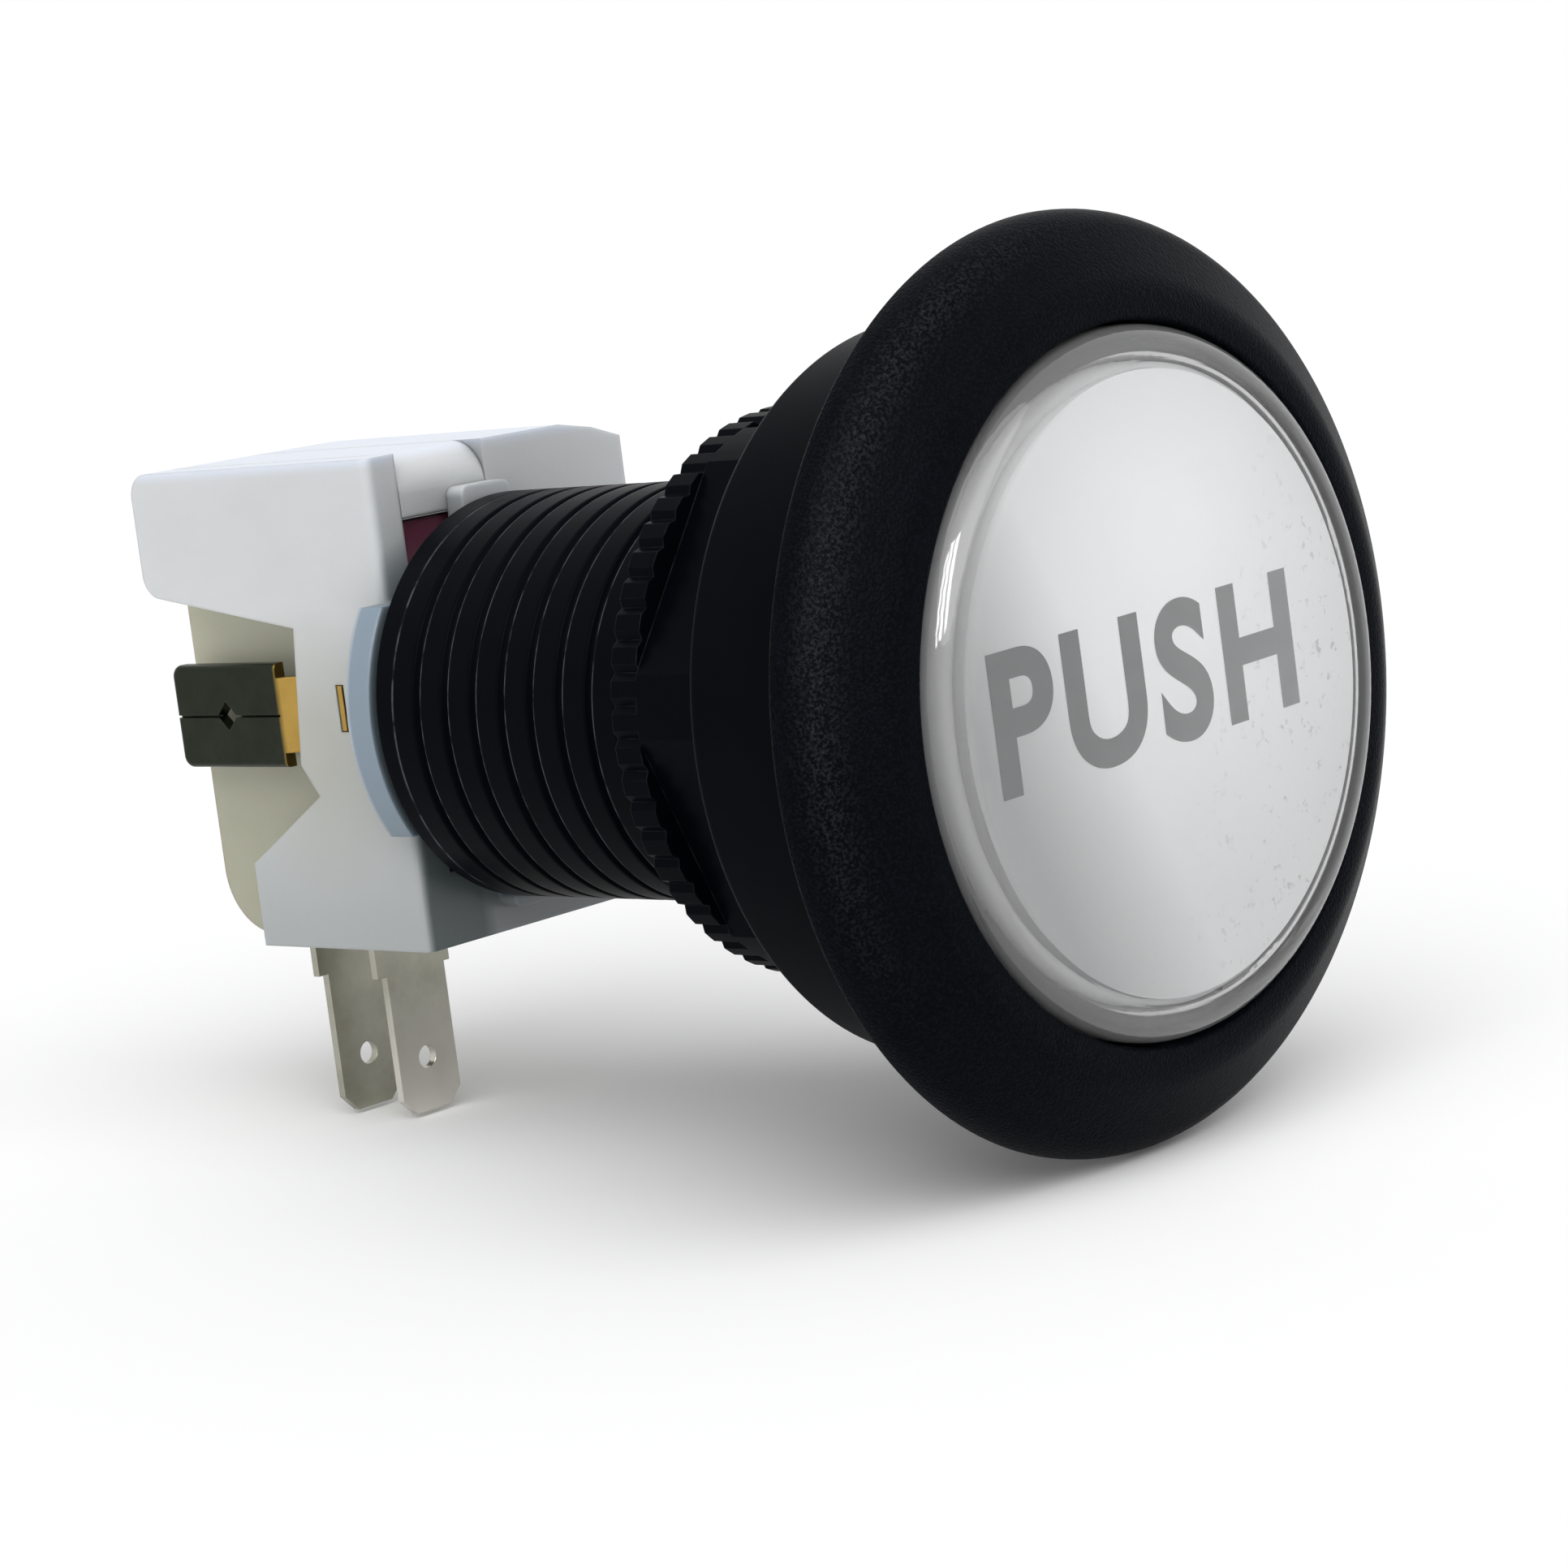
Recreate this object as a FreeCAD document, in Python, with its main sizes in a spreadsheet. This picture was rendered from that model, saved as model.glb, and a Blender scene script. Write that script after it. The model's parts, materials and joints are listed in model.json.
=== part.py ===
"""Illuminated push button: bezel housing, sprung lens button, panel nut and lamp holder with a switch.

Millimetres. The origin is on the button's axis in the bezel's rear plane, which rests on the panel.
+Y points rearward into the panel, +Z up and +X to the right as seen from the front.
"""

import FreeCAD, Part
import Sketcher
import math
import os
from types import SimpleNamespace

SIZES = (
    # gaps between pieces
    ("slide_gap", 0.1),
    ("seat_gap", 0.05),
    ("press_travel", 3.0),
    ("cut_margin", 1.0),
    # lens and legend insert
    ("lens_radius", 18.75),
    ("lens_gap", 0.2),
    ("lens_wall", 1.4),
    ("lens_front", 6.5),
    ("lens_front_wall", 1.5),
    ("lens_dome", 0.5),
    ("lens_corner_round", 2.0),
    ("lens_inner_round", 0.9),
    ("lens_skirt_end", 2.0),
    ("insert_thickness", 0.6),
    # housing, outward from the lens and inward from the barrel
    ("cup_wall", 1.05),
    ("cup_length", 10.2),
    ("cup_floor", 2.0),
    ("cup_rim_round", 0.5),
    ("bezel_overhang", 5.0),
    ("bezel_land", 1.65),
    ("bezel_side", 1.9),
    ("bezel_height", 4.8),
    ("bezel_shoulder_round", 2.6),
    ("bezel_crest_round", 3.0),
    ("bezel_lip_round", 0.3),
    ("bezel_rear_round", 0.3),
    ("barrel_radius", 12.05),
    ("barrel_wall", 1.45),
    ("barrel_end", 43.0),
    ("barrel_chamfer", 0.6),
    ("latch_length", 9.0),
    ("latch_step", 0.8),
    # mounting nut
    ("nut_thread_gap", 0.1),
    ("nut_wall", 2.45),
    ("nut_hex_turn", 54.0),
    ("nut_hex_length", 7.5),
    ("nut_flange_width", 3.8),
    ("nut_flange_length", 1.85),
    ("nut_teeth", 56),
    ("nut_tooth_depth", 0.3),
    ("nut_tooth_half_gap", 0.45),
    # plunger and its spring
    ("plunger_wall", 1.5),
    ("plunger_floor_rear", 0.6),
    ("plunger_floor_thickness", 1.2),
    ("insert_seat", 0.6),
    ("plunger_slit_start", 20.0),
    ("leg_half_width", 4.5),
    ("leg_slider_gap", 0.1),
    ("barb_height", 0.65),
    ("barb_flat", 0.5),
    ("barb_length", 2.4),
    ("spring_clearance", 2.8),
    ("spring_wire_radius", 0.4),
    ("spring_turns", 3.5),
    # lamp holder body; depths lie behind its front face
    ("holder_half_width", 8.0),
    ("holder_length", 21.6),
    ("holder_bottom", 14.15),
    ("holder_corner_round", 1.5),
    ("holder_edge_round", 0.6),
    ("far_block_width", 5.2),
    ("far_block_fall", 0.5),
    ("far_block_slope", 2.4),
    ("far_block_drop", 1.3),
    ("band_top", 5.4),
    ("band_depth", 8.3),
    ("band_bulge", 1.0),
    ("band_undercut", 0.33),
    ("band_low", 2.9),
    ("band_notch", 4.8),
    ("lobe_depth", 14.9),
    ("lobe_step", 9.05),
    ("collar_thickness", 1.95),
    ("collar_lamp_gap", 1.3),
    ("neck_wall", 1.6),
    ("neck_latch_gap", 3.05),
    ("lug_half_width", 2.0),
    ("lug_thickness", 1.4),
    ("lug_gap", 0.3),
    ("lug_height", 2.7),
    ("lug_round", 0.6),
    ("band_slot_depth", 4.55),
    ("band_slot_width", 0.7),
    ("band_slot_low", 0.9),
    ("band_slot_high", 1.95),
    # switch cover
    ("cover_right", 1.35),
    ("cover_gap", 0.1),
    ("cover_thickness", 3.8),
    ("cover_round", 2.4),
    # slider, wiper and slider spring
    ("slider_strip_gap", 0.6),
    ("slider_top_lip", 1.5),
    ("slider_recess", 0.4),
    ("slider_thickness", 1.5),
    ("slider_rear_gap", 0.2),
    ("wiper_half_width", 1.2),
    ("wiper_thickness", 0.4),
    ("wiper_foot_inset", 0.3),
    ("wiper_open_gap", 1.5),
    ("slider_spring_drop", 1.7),
    ("slider_spring_radius", 1.0),
    ("slider_spring_wire_radius", 0.2),
    ("slider_spring_turns", 6.0),
    ("slider_spring_seat_depth", 13.0),
    # terminal block
    ("block_inset", 0.8),
    ("block_spring_gap", 0.6),
    ("block_corner_round", 4.0),
    ("boss_depth", 1.0),
    ("boss_wall", 1.0),
    ("boss_gap", 0.3),
    ("socket_side_gap", 0.65),
    ("socket_end_gap", 0.4),
    ("socket_depth", 8.6),
    ("channel_gap", 0.3),
    ("channel_top_gap", 0.6),
    ("channel_over_travel", 2.1),
    # switch terminals
    ("front_terminal_depth", 6.1),
    ("rear_terminal_depth", 11.4),
    ("terminal_thickness", 0.5),
    ("stem_half_width", 1.5),
    ("stem_wall", 0.3),
    ("blade_top", 8.0),
    ("tab_offset", 1.0),
    ("tab_half_width", 2.375),
    ("tab_shoulder_left", 0.725),
    ("tab_shoulder_right", 0.475),
    ("tab_shoulder_height", 2.0),
    ("tab_length", 8.75),
    ("tab_tip_chamfer", 1.0),
    ("tab_hole_rise", 3.3),
    ("tab_hole_radius", 0.7),
    # lamp terminals
    ("strip_thickness", 0.4),
    ("strip_half_height", 2.3),
    ("cheek_wall", 1.4),
    ("strip_front_depth", 4.4),
    ("strip_bend_depth", 10.1),
    ("tongue_lamp_gap", 0.15),
    ("tongue_front_depth", 2.5),
    ("tongue_half_height", 2.0),
    ("leg_socket_gap", 0.9),
    ("lamp_tab_offset", 0.7),
    ("lamp_tab_front_depth", 11.4),
    ("lamp_tab_length", 9.7),
    ("lamp_tab_half_height", 3.2),
    ("lamp_tab_corner_round", 0.75),
    ("lamp_tab_fold_round", 0.35),
    ("lamp_tab_seam", 0.16),
    ("lamp_tab_hole_depth", 4.9),
    ("lamp_tab_hole_half", 0.9),
    # lamp
    ("bulb_radius", 5.1),
    ("bulb_length", 16.7),
    ("bulb_shoulder", 1.8),
    ("bulb_foot_radius", 2.0),
    ("lamp_base_rise", 1.0),
    ("lamp_base_half_width", 1.2),
    ("lamp_base_half_height", 4.6),
    ("lamp_seat_gap", 0.6),
)


class Term:
    """A size with the sheet formula that gives it."""

    def __init__(self, value, text):
        self.value = value
        self.text = text

    def __add__(self, other):
        other = term(other)
        return Term(self.value + other.value, "({} + {})".format(self.text, other.text))

    def __sub__(self, other):
        other = term(other)
        return Term(self.value - other.value, "({} - {})".format(self.text, other.text))

    def __mul__(self, other):
        other = term(other)
        return Term(self.value * other.value, "({} * {})".format(self.text, other.text))

    def __truediv__(self, other):
        other = term(other)
        return Term(self.value / other.value, "({} / {})".format(self.text, other.text))

    def __neg__(self):
        return Term(-self.value, "(0 - {})".format(self.text))

    __radd__ = __add__
    __rmul__ = __mul__

    def __rsub__(self, other):
        return term(other) - self


def term(number):
    return number if isinstance(number, Term) else Term(float(number), repr(float(number)))


def root(size):
    return Term(math.sqrt(size.value), "sqrt({})".format(size.text))


def cosine(angle):
    return Term(math.cos(math.radians(angle.value)), "cos({} * 1 deg)".format(angle.text))


def sine(angle):
    return Term(math.sin(math.radians(angle.value)), "sin({} * 1 deg)".format(angle.text))


doc = FreeCAD.newDocument("illuminated_push_button")
sheet = doc.addObject("Spreadsheet::Sheet", "sizes")
for row, (name, number) in enumerate(SIZES, 1):
    sheet.set("A{}".format(row), name)
    sheet.set("B{}".format(row), str(number))
    sheet.setAlias("B{}".format(row), name)
doc.recompute()
s = SimpleNamespace(**{name: Term(float(number), "sizes." + name) for name, number in SIZES})
finished = []


def bind(thing, path, size):
    thing.setExpression(path, term(size).text)


def new_body(label):
    body = doc.addObject("PartDesign::Body", label)
    body.Label = label
    finished.append(body)
    return body


def new_sketch(body, name, role, offset):
    sketch = body.newObject("Sketcher::SketchObject", name)
    plane = [feature for feature in body.Origin.OriginFeatures if feature.Role == role][0]
    sketch.AttachmentSupport = [(plane, "")]
    sketch.MapMode = "FlatFace"
    bind(sketch, "AttachmentOffset.Base.z", offset)
    return sketch


def hold(sketch, kind, refs, size):
    index = sketch.addConstraint(Sketcher.Constraint(kind, *refs, size.value))
    sketch.setExpression("Constraints[{}]".format(index), size.text)


def outline(sketch, points):
    """Closed outline; a point's third entry is the radius of a bulging arc to the next point."""
    first = sketch.GeometryCount
    corners = [(term(p[0]), term(p[1])) for p in points]
    ends = []
    for i, point in enumerate(points):
        a = FreeCAD.Vector(corners[i][0].value, corners[i][1].value, 0)
        j = (i + 1) % len(points)
        b = FreeCAD.Vector(corners[j][0].value, corners[j][1].value, 0)
        if len(point) == 2:
            sketch.addGeometry(Part.LineSegment(a, b), False)
            ends.append((1, 2))
            continue
        radius = point[2].value
        side = (b - a).cross(FreeCAD.Vector(0, 0, 1)).normalize()
        rise = radius - math.sqrt(radius ** 2 - ((b - a).Length / 2) ** 2)
        arc = Part.Arc(a, (a + b) * 0.5 + side * rise, b)
        sketch.addGeometry(arc, False)
        start = sketch.Geometry[first + i].StartPoint
        ends.append((1, 2) if (start - a).Length < (start - b).Length else (2, 1))
    for i in range(len(points)):
        j = (i + 1) % len(points)
        sketch.addConstraint(Sketcher.Constraint("Coincident", first + i, ends[i][1], first + j, ends[j][0]))
    for i, (across, along) in enumerate(corners):
        hold(sketch, "DistanceX", (-1, 1, first + i, ends[i][0]), across)
        hold(sketch, "DistanceY", (-1, 1, first + i, ends[i][0]), along)
        if len(points[i]) == 3:
            hold(sketch, "Radius", (first + i,), points[i][2])


def rectangle(low_across, high_across, low_along, high_along):
    return ((low_across, low_along), (high_across, low_along),
            (high_across, high_along), (low_across, high_along))


def ordered(a, b):
    return sorted((a, b), key=lambda size: size.value)


PLANES = {"x": "YZ_Plane", "y": "XZ_Plane", "z": "XY_Plane"}


def slab(body, name, axis, points, low, high, cut=False):
    """Pad or pocket between two stations on an axis; points is an outline or (across, along, radius)."""
    low, high = term(low), term(high)
    sketch = new_sketch(body, name + "_outline", PLANES[axis], -high if axis == "y" else low)
    if isinstance(points[0], tuple):
        outline(sketch, points)
    else:
        across, along, radius = (term(number) for number in points)
        index = sketch.addGeometry(
            Part.Circle(FreeCAD.Vector(across.value, along.value, 0), FreeCAD.Vector(0, 0, 1), radius.value),
            False)
        hold(sketch, "DistanceX", (-1, 1, index, 3), across)
        hold(sketch, "DistanceY", (-1, 1, index, 3), along)
        hold(sketch, "Radius", (index,), radius)
    feature = body.newObject("PartDesign::Pocket" if cut else "PartDesign::Pad", name)
    feature.Profile = sketch
    feature.Reversed = cut
    bind(feature, "Length", high - low)
    doc.recompute()
    return feature


def turned(body, name, points, cut=False):
    """Solid or groove of revolution about the button's axis from (radius, y) points."""
    sketch = new_sketch(body, name + "_outline", "XY_Plane", 0)
    outline(sketch, points)
    feature = body.newObject("PartDesign::Groove" if cut else "PartDesign::Revolution", name)
    feature.Profile = sketch
    feature.ReferenceAxis = (sketch, ["V_Axis"])
    feature.Angle = 360
    doc.recompute()
    return feature


def near(a, b):
    return abs(a - b) < 1e-4


def ring_edge(radius, y):
    return lambda edge: (isinstance(edge.Curve, Part.Circle) and near(edge.Curve.Radius, term(radius).value)
                         and near(edge.Curve.Center.y, term(y).value))


def straight_edge(axis, **place):
    """Straight edges along an axis that pass through the given place on the other two."""
    def fits(edge):
        if not isinstance(edge.Curve, Part.Line):
            return False
        a, b = edge.Vertexes[0].Point, edge.Vertexes[-1].Point
        if near(getattr(a, axis), getattr(b, axis)):
            return False
        return all(near(getattr(p, key), term(number).value) for p in (a, b) for key, number in place.items())
    return fits


def dress(body, name, size, *tests, chamfer=False):
    doc.recompute()
    base = body.Tip
    names = ["Edge{}".format(i) for i, edge in enumerate(base.Shape.Edges, 1)
             if not edge.Degenerated and any(test(edge) for test in tests)]
    if not names:
        raise ValueError("no edge found for " + name)
    feature = body.newObject("PartDesign::Chamfer" if chamfer else "PartDesign::Fillet", name)
    feature.Base = (base, names)
    bind(feature, "Size" if chamfer else "Radius", size)
    doc.recompute()
    return feature


def coil(body, radius, wire, start, end, turns, height):
    """Compression spring about a line parallel to the button's axis, of eight-sided wire."""
    sketch = new_sketch(body, "wire_outline", "XY_Plane", height)
    middle = start + wire
    half_step = math.radians(360 / 8 / 2)
    corner = wire / math.cos(half_step)
    outline(sketch, [(radius + corner * math.cos(half_step * (2 * k + 1)),
                      middle + corner * math.sin(half_step * (2 * k + 1))) for k in range(8)])
    feature = body.newObject("PartDesign::AdditiveHelix", "coil")
    feature.Profile = sketch
    feature.ReferenceAxis = (sketch, ["V_Axis"])
    feature.Mode = "height-turns-angle"
    bind(feature, "Height", end - start - wire * 2)
    bind(feature, "Turns", turns)
    doc.recompute()
    return feature


# sizes that follow from others: radii of the housing, lens and plunger
opening_radius = s.lens_radius + s.lens_gap
cup_radius = opening_radius + s.cup_wall
bezel_radius = cup_radius + s.bezel_overhang
crest_radius = opening_radius + s.bezel_land
latch_radius = s.barrel_radius - s.barrel_wall
bore_radius = latch_radius - s.latch_step
plunger_radius = bore_radius - s.slide_gap
tube_radius = plunger_radius - s.plunger_wall
lens_inner_radius = s.lens_radius - s.lens_wall
rim_radius = lens_inner_radius - s.slide_gap
insert_radius = rim_radius - s.lens_inner_round
cup_floor_front = s.cup_length - s.cup_floor
beyond = bezel_radius

# stations along the button, front to rear
lens_edge = s.lens_front - s.lens_dome
lens_inner_face = s.lens_front - s.lens_front_wall
insert_front = lens_inner_face - s.seat_gap
insert_rear = insert_front - s.insert_thickness
rim_front = insert_rear - s.seat_gap
plunger_floor_front = s.plunger_floor_rear - s.plunger_floor_thickness
latch_front = s.barrel_end - s.latch_length
barb_front = latch_front + s.seat_gap
collar_front = s.barrel_end + s.seat_gap
holder_front = collar_front + s.collar_thickness
holder_rear = holder_front + s.holder_length
slider_front = holder_front + s.slider_recess
slider_rear = slider_front + s.slider_thickness
leg_end = slider_front - s.leg_slider_gap
block_front = slider_rear + s.wiper_thickness + s.press_travel + s.slider_rear_gap
pocket_end = block_front - s.seat_gap
boss_front = holder_front + s.boss_depth
socket_end = holder_front + s.socket_depth
front_terminal_y = holder_front + s.front_terminal_depth
rear_terminal_y = holder_front + s.rear_terminal_depth
wiper_end = rear_terminal_y - s.wiper_open_gap
spring_seat = holder_front + s.slider_spring_seat_depth

# heights and widths in the lamp holder
slider_bottom = plunger_radius
slider_top = plunger_radius + s.slider_top_lip
pocket_top = slider_top + s.slide_gap
pocket_bottom = slider_bottom + s.slide_gap
cover_bottom = pocket_top + s.cover_gap
holder_top = cover_bottom + s.cover_thickness
spring_height = slider_top - s.slider_spring_drop
spring_reach = s.slider_spring_radius + s.slider_spring_wire_radius
block_top = spring_height - spring_reach - s.block_spring_gap
strip_outer = s.holder_half_width - s.cheek_wall
strip_inner = strip_outer - s.strip_thickness
strip_slot_outer = strip_outer + s.seat_gap
strip_slot_inner = strip_inner - s.seat_gap
strip_slot_half = s.strip_half_height + s.seat_gap
slider_half_width = strip_inner - s.slider_strip_gap
pocket_half_width = slider_half_width + s.slide_gap
cover_left = slider_half_width + s.seat_gap
block_half_width = slider_half_width - s.block_inset
core_half_width = block_half_width + s.seat_gap
tongue_inner = s.lamp_base_half_width + s.tongue_lamp_gap
tongue_outer = tongue_inner + s.strip_thickness
socket_half_width = tongue_outer + s.socket_side_gap
socket_half_height = s.lamp_base_half_height + s.socket_end_gap
boss_half_width = socket_half_width + s.boss_wall
boss_half_height = socket_half_height + s.boss_wall
leg_rear = socket_end - s.leg_socket_gap
leg_front = leg_rear - s.strip_thickness
wiper_bottom = s.blade_top - s.slide_gap
wiper_top = wiper_bottom - s.wiper_thickness
stem_centre = block_half_width - s.stem_wall - s.stem_half_width
stem_left = -stem_centre - s.stem_half_width
stem_right = s.stem_half_width - stem_centre
wiper_left = -stem_centre - s.wiper_half_width
wiper_right = s.wiper_half_width - stem_centre
tab_centre = stem_centre + s.tab_offset

# housing: bezel, cup and barrel in one moulding
housing = new_body("housing")
turned(housing, "shell", (
    (bezel_radius, 0),
    (bezel_radius, -s.bezel_side),
    (crest_radius, -s.bezel_height),
    (opening_radius, -s.bezel_height),
    (opening_radius, cup_floor_front),
    (bore_radius, cup_floor_front),
    (bore_radius, latch_front),
    (latch_radius, latch_front),
    (latch_radius, s.barrel_end),
    (s.barrel_radius, s.barrel_end),
    (s.barrel_radius, s.cup_length),
    (cup_radius, s.cup_length),
    (cup_radius, 0),
))
dress(housing, "bezel_shoulder", s.bezel_shoulder_round, ring_edge(bezel_radius, -s.bezel_side))
dress(housing, "bezel_crest", s.bezel_crest_round, ring_edge(crest_radius, -s.bezel_height))
dress(housing, "bezel_lip", s.bezel_lip_round, ring_edge(opening_radius, -s.bezel_height))
dress(housing, "bezel_rear_edge", s.bezel_rear_round, ring_edge(bezel_radius, 0))
dress(housing, "cup_rim", s.cup_rim_round, ring_edge(cup_radius, s.cup_length))
dress(housing, "barrel_mouth", s.barrel_chamfer, ring_edge(s.barrel_radius, s.barrel_end), chamfer=True)

# mounting nut: hexagon with a toothed flange
nut = new_body("mounting_nut")
nut_front = s.cup_length + s.seat_gap
nut_flange_front = nut_front + s.nut_hex_length
nut_rear = nut_flange_front + s.nut_flange_length
nut_bore = s.barrel_radius + s.nut_thread_gap
nut_flange_radius = nut_bore + s.nut_flange_width
nut_corner = (nut_bore + s.nut_wall) * 2 / math.sqrt(3)
hex_angles = [s.nut_hex_turn + 60 * k for k in range(6)]
slab(nut, "hexagon", "y", tuple((nut_corner * cosine(a), nut_corner * sine(a)) for a in hex_angles),
     nut_front, nut_flange_front)
slab(nut, "flange", "y", (0, 0, nut_flange_radius), nut_flange_front, nut_rear)
turned(nut, "corner_trim",
       rectangle(nut_flange_radius, nut_corner + s.cut_margin, nut_front - s.cut_margin, nut_flange_front),
       cut=True)
tooth = slab(nut, "tooth_gap", "y", (
    (nut_flange_radius - s.nut_tooth_depth, 0),
    (nut_flange_radius + s.nut_tooth_depth, -s.nut_tooth_half_gap * 2),
    (nut_flange_radius + s.nut_tooth_depth, s.nut_tooth_half_gap * 2),
), nut_flange_front, nut_rear, cut=True)
teeth = nut.newObject("PartDesign::PolarPattern", "teeth")
teeth.Originals = [tooth]
teeth.Axis = ([f for f in nut.Origin.OriginFeatures if f.Role == "Y_Axis"][0], [""])
teeth.Angle = 360
bind(teeth, "Occurrences", s.nut_teeth)
nut.Tip = teeth
slab(nut, "bore", "y", (0, 0, nut_bore), nut_front, nut_rear, cut=True)

# lens: clear cap with a shallow dome
lens = new_body("lens")
dome_radius = (s.lens_radius * s.lens_radius + s.lens_dome * s.lens_dome) / (s.lens_dome * 2)
turned(lens, "cap", (
    (0, -lens_inner_face),
    (0, -s.lens_front, dome_radius),
    (s.lens_radius, -lens_edge),
    (s.lens_radius, s.lens_skirt_end),
    (lens_inner_radius, s.lens_skirt_end),
    (lens_inner_radius, -lens_inner_face),
))
dress(lens, "front_corner", s.lens_corner_round, ring_edge(s.lens_radius, -lens_edge))
dress(lens, "inner_corner", s.lens_inner_round, ring_edge(lens_inner_radius, -lens_inner_face))

# legend insert: white disc under the lens
insert = new_body("legend_insert")
slab(insert, "disc", "y", (0, 0, insert_radius), -insert_front, -insert_rear)

# plunger: white cup inside the lens, with a tube and two latching legs behind it
plunger = new_body("plunger")
barb_radius = plunger_radius + s.barb_height
rim_inner_radius = insert_radius - s.insert_seat
turned(plunger, "cup_and_tube", (
    (tube_radius, leg_end),
    (plunger_radius, leg_end),
    (plunger_radius, barb_front + s.barb_length),
    (barb_radius, barb_front + s.barb_flat),
    (barb_radius, barb_front),
    (plunger_radius, barb_front),
    (plunger_radius, s.plunger_floor_rear),
    (rim_radius, s.plunger_floor_rear),
    (rim_radius, -rim_front),
    (rim_inner_radius, -rim_front),
    (rim_inner_radius, plunger_floor_front),
    (tube_radius, plunger_floor_front),
))
dress(plunger, "cup_rim", s.lens_inner_round, ring_edge(rim_radius, -rim_front))
slab(plunger, "slit_right", "y", rectangle(s.leg_half_width, beyond, -beyond, beyond),
     s.plunger_slit_start, leg_end, cut=True)
slab(plunger, "slit_left", "y", rectangle(-beyond, -s.leg_half_width, -beyond, beyond),
     s.plunger_slit_start, leg_end, cut=True)

return_spring = new_body("return_spring")
coil(return_spring, plunger_radius + s.spring_clearance, s.spring_wire_radius,
     s.plunger_floor_rear + s.seat_gap, cup_floor_front - s.seat_gap, s.spring_turns, 0)

# lamp holder body: side cheeks with band and lobe, top block, collar and neck
holder = new_body("holder_body")
band_rear = holder_front + s.band_depth
lobe_rear = holder_front + s.lobe_depth
slab(holder, "cheeks", "x", (
    (holder_front, -s.holder_bottom),
    (lobe_rear, -s.holder_bottom),
    (lobe_rear, -s.lobe_step),
    (band_rear - s.band_undercut, -s.band_notch),
    (band_rear + s.band_bulge, -s.band_low),
    (band_rear, s.band_top),
    (holder_rear, block_top),
    (holder_rear, holder_top),
    (holder_front, holder_top),
), -s.holder_half_width, s.holder_half_width)
dress(holder, "rear_corners", s.holder_corner_round,
      straight_edge("x", y=holder_rear, z=holder_top),
      straight_edge("x", y=holder_rear, z=block_top))
dress(holder, "near_edge", s.holder_edge_round, straight_edge("z", x=-s.holder_half_width, y=holder_front))
far_reach = s.holder_half_width + s.far_block_width
slab(holder, "far_block", "y", (
    (s.holder_half_width, block_top),
    (far_reach, block_top),
    (far_reach, holder_top - s.far_block_drop),
    (far_reach - s.far_block_slope, holder_top - s.far_block_fall),
    (s.holder_half_width, holder_top),
), holder_front, holder_rear - s.holder_corner_round)
neck_radius = latch_radius - s.slide_gap
neck_front = latch_front + s.neck_latch_gap
collar_inner_radius = s.bulb_radius + s.collar_lamp_gap
turned(holder, "collar", (
    (collar_inner_radius, holder_front),
    (collar_inner_radius, collar_front),
    (neck_radius - s.neck_wall, collar_front),
    (neck_radius - s.neck_wall, neck_front),
    (neck_radius, neck_front),
    (neck_radius, collar_front),
    (s.barrel_radius, collar_front),
    (s.barrel_radius, holder_front),
))
collar_half_height = root(tube_radius * tube_radius - s.leg_half_width * s.leg_half_width) - s.slide_gap
slab(holder, "collar_gap_top", "y", rectangle(-beyond, beyond, collar_half_height, beyond),
     neck_front, holder_front, cut=True)
slab(holder, "collar_gap_bottom", "y", rectangle(-beyond, beyond, -beyond, -collar_half_height),
     neck_front, holder_front, cut=True)
lug_inner = plunger_radius + s.lug_gap
lug_outer = lug_inner + s.lug_height
slab(holder, "lug_top", "y", rectangle(-s.lug_half_width, s.lug_half_width, lug_inner, lug_outer),
     holder_front - s.lug_thickness, holder_front)
slab(holder, "lug_bottom", "y", rectangle(-s.lug_half_width, s.lug_half_width, -lug_outer, -lug_inner),
     holder_front - s.lug_thickness, holder_front)
dress(holder, "lug_corners", s.lug_round, *(straight_edge("y", x=s.lug_half_width * side, z=lug_outer * end)
                                            for side in (-1, 1) for end in (-1, 1)))
slab(holder, "slider_pocket", "y", rectangle(-pocket_half_width, pocket_half_width, -pocket_bottom, pocket_top),
     holder_front, pocket_end, cut=True)
slab(holder, "block_pocket", "y",
     rectangle(-core_half_width, core_half_width, -beyond, block_top + s.seat_gap),
     pocket_end, holder_rear + s.cut_margin, cut=True)
slab(holder, "cover_pocket", "y",
     rectangle(-cover_left - s.seat_gap, s.cover_right + s.seat_gap, cover_bottom - s.seat_gap, beyond),
     holder_front, holder_rear + s.cut_margin, cut=True)
strip_front = holder_front + s.strip_front_depth
band_slot_start = holder_front + s.band_slot_depth
for side, word in ((-1, "near"), (1, "far")):
    slab(holder, "strip_slot_" + word, "y",
         rectangle(*ordered(strip_slot_outer * side, strip_slot_inner * side),
                   -strip_slot_half, strip_slot_half),
         strip_front - s.seat_gap, lobe_rear, cut=True)
    slab(holder, "leg_slot_" + word, "y",
         rectangle(*ordered(strip_slot_outer * side, block_half_width * side),
                   -strip_slot_half, strip_slot_half),
         leg_front - s.seat_gap, lobe_rear, cut=True)
    slab(holder, "band_slot_" + word, "x",
         rectangle(band_slot_start, band_slot_start + s.band_slot_width, -s.band_slot_low, s.band_slot_high),
         *ordered(s.holder_half_width * side, strip_slot_outer * side), cut=True)
slab(holder, "spring_hole", "y", (0, spring_height, spring_reach + s.slide_gap),
     pocket_end, spring_seat, cut=True)

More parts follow.
